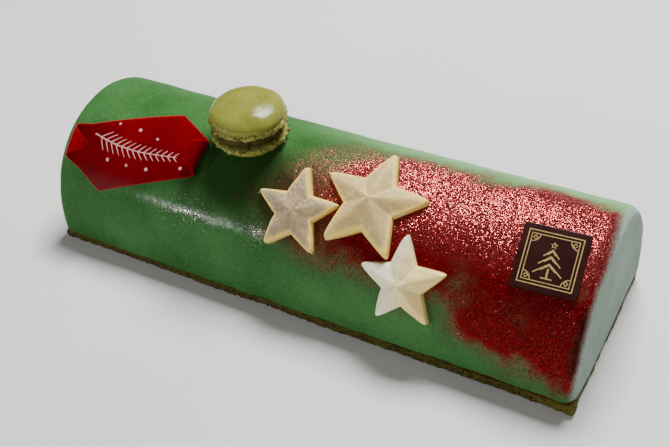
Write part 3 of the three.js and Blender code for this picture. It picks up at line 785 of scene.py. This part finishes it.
def tag_finish():
    """Clear red sugar with faint clouds, painted lighter at the rim and on the left roll: painted light."""
    material, tree = finish("red_sugar_sheet", Roughness=0.35, Specular_IOR_Level=0.04,
                            Subsurface_Weight=0.6, Subsurface_Radius=(0.006, 0.0005, 0.0005),
                            Subsurface_Scale=0.5)
    cloud = noise(tree, 20, 3)
    colour = tint(tree, cloud, 0.3, 0.7, (0.122, 0.0, 0.003), (0.166, 0.0, 0.004))
    # Painted light: lighter red on the rim and the left roll.
    colour = blend(tree, mark(tree, "rim"), colour, (0.25, 0.001, 0.006))
    return wired(material, Base_Color=colour, Normal=bump(tree, noise(tree, 8, 2), 0.25, 0.4))


def strokes(lines, carry, height, mirrored=False):
    """Printed lines as thin closed ribbons. Each line is (points, width, closed); its two borders lie
    half the width to either side, at right angles to its direction, and it stands height mm high.
    Faces are turned round where carry swaps left and right."""
    all_points, all_faces, start = [], [], 0
    for line, width, closed in lines:
        line = np.asarray(line, float)
        if closed:
            ahead, behind = np.roll(line, -1, 0), np.roll(line, 1, 0)
        else:
            ahead = np.append(line[1:], [2 * line[-1] - line[-2]], 0)
            behind = np.insert(line[:-1], 0, 2 * line[0] - line[1], 0)
        after, before = ahead - line, line - behind
        after /= np.linalg.norm(after, axis=1)[:, None]
        before /= np.linalg.norm(before, axis=1)[:, None]
        way = after + before
        way /= np.linalg.norm(way, axis=1)[:, None]
        side = np.stack([-way[:, 1], way[:, 0]], -1) / np.maximum((way * after).sum(1), 0.5)[:, None]
        half = np.broadcast_to(np.asarray(width, float) / 2, len(line))[:, None]
        right, left = line - side * half, line + side * half
        loop = np.stack([right, left, left, right], 1)
        lift = np.array([height, height, -0.08, -0.08])
        all_points.append(carry(loop[..., 0], loop[..., 1], lift[None, :]).reshape(-1, 3))
        faces = net(len(line), 4, close_rows=closed, close_columns=True)
        if not closed:
            tail = 4 * (len(line) - 1)
            faces = np.concatenate([faces, [[3, 2, 1, 0]], [[tail, tail + 1, tail + 2, tail + 3]]])
        all_faces.append(faces + start)
        start += 4 * len(line)
    faces = np.concatenate(all_faces)
    return np.concatenate(all_points), [faces[:, ::-1] if mirrored else faces]


TWIG_DOTS = [(-13, 9.2, 0.5), (-2, 8.6, 0.4), (9, 7.2, 0.5), (-15, -8.5, 0.4), (-3, -8.8, 0.5),
             (8, -7.4, 0.4), (26, 1.5, 0.45)]


def twig():
    """A fir twig and dots: needles leave a bowed stem to both sides, shorter towards its tip."""
    t = np.linspace(0, 1, 60)
    stem = np.stack([-25 + 47 * t, 3.0 * np.sin(math.pi * (0.15 + 0.95 * t)) - 1.5], -1)
    lines = [(stem, 0.75 - 0.45 * t, False)]
    for k in range(5, 58, 4):
        way = stem[k + 1] - stem[k - 1]
        way /= np.linalg.norm(way)
        for side in (1, -1):
            out = np.array([0.64 * way[0] - side * 0.77 * way[1], side * 0.77 * way[0] + 0.64 * way[1]])
            reach = 6.6 * (1 - 0.62 * t[k]) * np.array([0, 0.35, 0.7, 1])[:, None]
            bow = 0.5 * way * np.array([0, 0.1, 0.45, 1])[:, None]
            lines.append((stem[k] + reach * out + bow, np.array([0.5, 0.5, 0.4, 0.22]), False))
    circle = np.linspace(0, 2 * math.pi, 9)[:-1]
    for b, across, size in TWIG_DOTS:
        ring = np.stack([b + size * np.cos(circle), across + size * np.sin(circle)], -1)
        lines.append((ring, 1.5 * size, True))
    return lines


def over_tag(b, across, lift):
    """Points above the sheet from mm along it and mm across it."""
    back, front = tag_edges(b)
    return on_tag(b, (across - back) / (front - back), lift + TAG_THICKNESS / 2)


def paint_finish():
    """Thin white sugar paint through which the red shows in places."""
    material, tree = finish("sugar_paint", Roughness=0.5, Specular_IOR_Level=0.3)
    speck = noise(tree, 0.8, 3, 0.7)
    colour = tint(tree, speck, 0.35, 0.65, (0.42, 0.13, 0.12), (0.78, 0.46, 0.43))
    return wired(material, Base_Color=colour, Normal=bump(tree, speck, 0.05, 0.5))


twig_points, twig_faces = strokes(twig(), over_tag, 0.07)
made("painted_twig", twig_points, twig_faces, "tag", paint_finish(), smooth=False)
tag_points, tag_faces, tag_painted_light = tag_sheet()
made("red_sugar_tag", tag_points, tag_faces, "tag", tag_finish(), ["red_tag"], marks={"rim": tag_painted_light})


# The square: a thin tablet of dark chocolate with a gold design printed from a transfer sheet, a fir
# tree inside a double border, laid flat on the upper front near the bare end.
SQUARE = dict(x=108.6, arc=24.6, turn=4.4, lean=3.0, tilt=5.6, size=25.6, thickness=1.6, sunk=0.5)
OUTER_BORDER = 10.3
INNER_BORDER = 9.0


def on_square(u, v, height):
    """Points of the square from its own u and v, turned and leaned as it lies on the log."""
    u, v, height = np.broadcast_arrays(np.asarray(u, float), v, height)
    lean, turn, tilt = (math.radians(SQUARE[key]) for key in ("lean", "turn", "tilt"))
    attitude = np.array(Matrix.Rotation(lean_at(SQUARE["arc"]) + lean, 3, "X")
                        @ Matrix.Rotation(turn, 3, "Z") @ Matrix.Rotation(tilt, 3, "Y"))
    return np.stack([u, v, height], -1) @ attitude.T + over_log(SQUARE["x"], SQUARE["arc"], -0.05)


def tablet():
    """Rings of a square with softly rounded corners, |u|^24 + |v|^24 = 1, and a small bevel."""
    angle = np.linspace(0, 2 * math.pi, 240, endpoint=False) + math.pi / 4
    reach = (np.abs(np.cos(angle)) ** 24 + np.abs(np.sin(angle)) ** 24) ** (-1 / 24)
    inset = np.array([6, 0.25, 0, 0, 0.06, 0.25, 0.6, 6, 10])
    low, top = -SQUARE["sunk"], SQUARE["thickness"]
    height = np.array([low, low, low / 2, top - 0.35, top - 0.12, top - 0.03, top, top, top])
    radius = (SQUARE["size"] / 2 - inset)[:, None] * reach
    points = on_square(radius * np.cos(angle), radius * np.sin(angle), height[:, None])
    rows, columns = points.shape[:2]
    poles = on_square(np.zeros(2), np.zeros(2), np.array([low, top]))
    return np.concatenate([points.reshape(-1, 3), poles]), capped(rows, columns)


def chocolate_finish():
    """Dark chocolate, a little cloudy in colour and gloss."""
    material, tree = finish("dark_chocolate", Specular_IOR_Level=0.1)
    cloud = noise(tree, 7, 4)
    colour = tint(tree, cloud, 0.3, 0.7, (0.020, 0.005, 0.004), (0.032, 0.009, 0.008))
    return wired(material, Base_Color=colour, Roughness=sums(tree, "MULTIPLY_ADD", cloud, 0.2, 0.3),
                 Normal=bump(tree, noise(tree, 1.2, 3), 0.04, 0.4))


def gold_finish():
    """Grainy gold print."""
    material, tree = finish("gold_print", Roughness=0.45, Specular_IOR_Level=0.5, Metallic=0.25)
    speck = noise(tree, 0.9, 3, 0.7)
    colour = tint(tree, speck, 0.35, 0.65, (0.34, 0.22, 0.065), (0.56, 0.40, 0.155))
    return wired(material, Base_Color=colour, Normal=bump(tree, speck, 0.03, 0.5))


def box_line(half, count=12):
    """A square's outline, count points to a side, its corners included."""
    side = np.linspace(-half, half, count, endpoint=False)
    flat = np.full(count, half)
    sides = ((side, -flat), (flat, side), (-side, flat), (-flat, -side))
    return np.concatenate([np.stack(pair, -1) for pair in sides])


def fir_tree():
    """A trunk on a foot, three chevrons for the tiers, each with a smaller one inside, and a star."""
    lines = []
    for top, wide, drop in ((4.0, 3.0, 3.0), (1.4, 4.2, 3.6), (-1.6, 5.4, 4.2)):
        for share, width in ((1.0, 0.46), (0.5, 0.3)):
            low = top - drop * share - (1 - share) * 1.2
            lines.append(([[-wide * share, low], [0, top - (1 - share) * 1.2], [wide * share, low]],
                          width, False))
    lines.append(([[0, -7.2], [0, -3.4]], 0.7, False))
    lines.append(([[-2.2, -7.3], [2.2, -7.3]], 0.45, False))
    spark = np.linspace(0, 2 * math.pi, 10, endpoint=False)
    size = np.where(np.arange(10) % 2, 0.5, 1.2)
    lines.append((np.stack([size * np.sin(spark), 5.8 + size * np.cos(spark)], -1), 0.3, True))
    return lines


def corner_marks():
    """A small lozenge and a quarter ring in each corner of the inner border."""
    quarter = np.linspace(0, math.pi / 2, 9)
    lozenge = np.array([[0.8, 0], [0, 0.8], [-0.8, 0], [0, -0.8]])
    lines = []
    for way in (np.array([1, 1]), np.array([-1, 1]), np.array([-1, -1]), np.array([1, -1])):
        ring = INNER_BORDER - 3.2 * np.stack([np.cos(quarter), np.sin(quarter)], -1)
        lines.append((ring * way, 0.35, False))
        lines.append((lozenge + 7.5 * way, 0.3, True))
    return lines


square_points, square_faces = tablet()
made("chocolate_tablet", square_points, square_faces, "dark_chocolate", chocolate_finish(),
     ["chocolate_square"])
borders = [(box_line(OUTER_BORDER), 0.42, True), (box_line(INNER_BORDER), 0.34, True)]
gold_points, gold_faces = strokes(borders + fir_tree() + corner_marks(),
                                  lambda u, v, lift: on_square(u, v, SQUARE["thickness"] + lift),
                                  0.05, mirrored=True)
made("gold_design", gold_points, gold_faces, "dark_chocolate", gold_finish(), smooth=False)


# The glitter: fine edible flakes blown over the red spray while the glaze was wet, a few coarser ones
# among them, and a streak of silver ones along the lower front by the tag, laid where the lamp's gloss
# falls as a painted highlight. Each lies at its own slant.
RED_STRETCH = ((-30, 132), (-14, 82))
SILVER_STRETCH = ((-95, 0), (26, 66))
RED_FLAKES = {
    "glitter_red_fine": dict(count=86000, size=0.113, tilt=0.45, seed=101),
    "glitter_red_bold": dict(count=6000, size=0.175, tilt=0.8, seed=102),
}
SILVER_FLAKES = dict(count=16000, size=0.14, tilt=0.4, seed=111)


def flakes(x, arc, size, tilt, seed):
    """Grains: a three-cornered base sunk into the glaze and a point above it, put off its middle, so
    that the three upper facets lean different ways. Past the log's straight part the place runs on
    over the end's rounding."""
    draw = np.random.default_rng(seed)
    straight = LOG_LENGTH / 2 - END_ROUNDING
    turn = np.clip((x - straight) / END_ROUNDING, 0, math.pi / 2)
    x = np.minimum(x, straight) + END_ROUNDING * np.sin(turn)
    drop = END_ROUNDING * (1 - np.cos(turn))
    count = len(x)
    size = size * np.exp(draw.normal(0, 0.3, count))
    heading = draw.uniform(0, 2 * math.pi, count)[:, None] + np.arange(3) * 2 * math.pi / 3
    base_x = x[:, None] + size[:, None] * np.cos(heading)
    base_arc = arc[:, None] + size[:, None] * np.sin(heading)
    base = over_log(base_x, base_arc, -0.04 - drop[:, None])
    off = draw.normal(0, 0.45, (2, count)) * size
    point = over_log(x + off[0], arc + off[1], size * tilt * draw.uniform(0.5, 1.5, count) - drop)
    points = np.concatenate([base, point[:, None, :]], 1)
    corners = np.array([[0, 2, 1], [0, 1, 3], [1, 2, 3], [2, 0, 3]])
    faces = (4 * np.arange(count))[:, None, None] + corners[:, ::-1]
    return points, [faces.reshape(-1, 3)]


def scattered(count, x_range, arc_range, share, seed):
    """Places drawn evenly over a stretch of the log and kept with the chance that share gives."""
    draw = np.random.default_rng(seed)
    x = draw.uniform(*x_range, count)
    arc = draw.uniform(*arc_range, count)
    kept = draw.uniform(0, 1, count) < share(x, arc)
    return x[kept], arc[kept]


def flake_finish(name, metal, dull, bright):
    """Shiny flakes, each of its own brightness between dull and bright, and painted brighter near the
    ridge, where they catch the light: a painted highlight.
    """
    material, tree = finish(name, Roughness=0.2, Metallic=metal, Specular_IOR_Level=0.5)
    grey, _ = cells(tree, 1.3)
    # Painted highlight: brighter towards the ridge.
    lit = times(tree, grey, sums(tree, "MULTIPLY_ADD", towards_ridge(tree), 0.75, 0.25))
    return wired(material, Base_Color=blend(tree, lit, dull, bright),
                 Normal=bump(tree, noise(tree, 0.5, 2), 0.03, 0.4))


red_flake = flake_finish("red_glitter", 0.5, (0.15, 0.002, 0.003), (0.66, 0.17, 0.15))
silver_flake = flake_finish("silver_glitter", 0.95, (0.30, 0.32, 0.27), (0.70, 0.72, 0.66))
for part, kind in RED_FLAKES.items():
    where = scattered(kind["count"], *RED_STRETCH, lambda x, arc: red_cover(x, arc) ** 1.5, kind["seed"])
    grains = flakes(*where, kind["size"], kind["tilt"], kind["seed"] + 5)
    made(part, *grains, "glaze", red_flake, smooth=False)
# Silver flakes only along the lamp's gloss: glitter and a painted highlight.
where = scattered(SILVER_FLAKES["count"], *SILVER_STRETCH, silver_and_highlight_streak, SILVER_FLAKES["seed"])
grains = flakes(*where, SILVER_FLAKES["size"], SILVER_FLAKES["tilt"], SILVER_FLAKES["seed"] + 1)
made("glitter_silver", *grains, "glaze", silver_flake, smooth=False)


# The studio: a plain pale table that runs on past the picture, and soft lights. The main one is a wide
# softbox above and behind the cake; a weak one fills the front without reflections, and a small lamp
# low on the left gives the gloss along the lower front.
TABLE_SIZE = 8
TABLE_BELOW = 0.0004
LIGHTS = {
    "overhead_softbox": dict(spot=(0.02, 0.53, 1.10), aim=(0.03, 0, 0.04), width=0.48, depth=0.38, power=33),
    "front_softbox": dict(spot=(0.38, -0.92, 0.52), aim=(0, 0, 0.03), width=0.50, depth=0.40, power=3.0),
    "left_lamp": dict(spot=(-0.585, -0.86, 0.20), aim=(0, 0, 0.04), width=0.06, depth=0.06, power=2.8),
}
WORLD_STRENGTH = 0.09


def stage_finish():
    """Smooth pale board with faint clouds."""
    material, tree = finish("pale_table", Roughness=0.8, Specular_IOR_Level=0.2)
    paper = noise(tree, 60, 3)
    return wired(material, Base_Color=blend(tree, paper, (0.66, 0.66, 0.65), (0.70, 0.70, 0.69)))


bpy.ops.mesh.primitive_plane_add(size=TABLE_SIZE, location=(0, 0, -TABLE_BELOW))
table = bpy.context.object
table.name = "table"
table.data.materials.append(stage_finish())


def softbox(name, spot, aim, width, depth, power):
    """An oblong area light at spot (m) that faces aim: its axes are the level line at right angles
    to its direction, the line upright to both, and the direction itself."""
    light = bpy.data.lights.new(name, "AREA")
    light.shape, light.size, light.size_y = "RECTANGLE", width, depth
    light.energy = power
    lamp = bpy.data.objects.new(name, light)
    spot, aim = np.array(spot, float), np.array(aim, float)
    back = (spot - aim) / np.linalg.norm(spot - aim)
    right = np.cross([0, 0, 1], back)
    right /= np.linalg.norm(right)
    turn = np.stack([right, np.cross(back, right), back], 1)
    lamp.matrix_world = Matrix.Translation(spot) @ Matrix(turn.tolist()).to_4x4()
    bpy.context.scene.collection.objects.link(lamp)
    return lamp


for light_name, setting in LIGHTS.items():
    lamp = softbox(light_name, **setting)
    lamp.visible_glossy = light_name != "front_softbox"

world = bpy.data.worlds.new("studio")
world.use_nodes = True
world.node_tree.nodes["Background"].inputs["Color"].default_value = (1, 1, 1, 1)
world.node_tree.nodes["Background"].inputs["Strength"].default_value = WORLD_STRENGTH
bpy.context.scene.world = world


# The camera: where the photograph was taken from, close, above the front and from the bare end's side.
# Its place is in mm from the log's middle; its turn to the left, its steepness downwards and its roll
# are in degrees, its lens in mm.
CAMERA_SPOT = np.array([195.4, -301.6, 304.1])
CAMERA_TURN = 32.939
CAMERA_STEEPNESS = 38.563
CAMERA_ROLL = -4.926
CAMERA_LENS = 54.294
camera = bpy.data.objects.new("camera", bpy.data.cameras.new("camera"))
camera.data.sensor_width = 36
camera.data.lens = CAMERA_LENS
camera.data.clip_start = 0.01
camera_spot = ((CAMERA_SPOT + [0, LOG_MIDDLE_Y, 0]) * 0.001).tolist()
camera.matrix_world = (Matrix.Translation(camera_spot)
                       @ Matrix.Rotation(math.radians(CAMERA_TURN), 4, "Z")
                       @ Matrix.Rotation(math.radians(90 - CAMERA_STEEPNESS), 4, "X")
                       @ Matrix.Rotation(math.radians(CAMERA_ROLL), 4, "Z"))
bpy.context.scene.collection.objects.link(camera)
bpy.context.scene.camera = camera
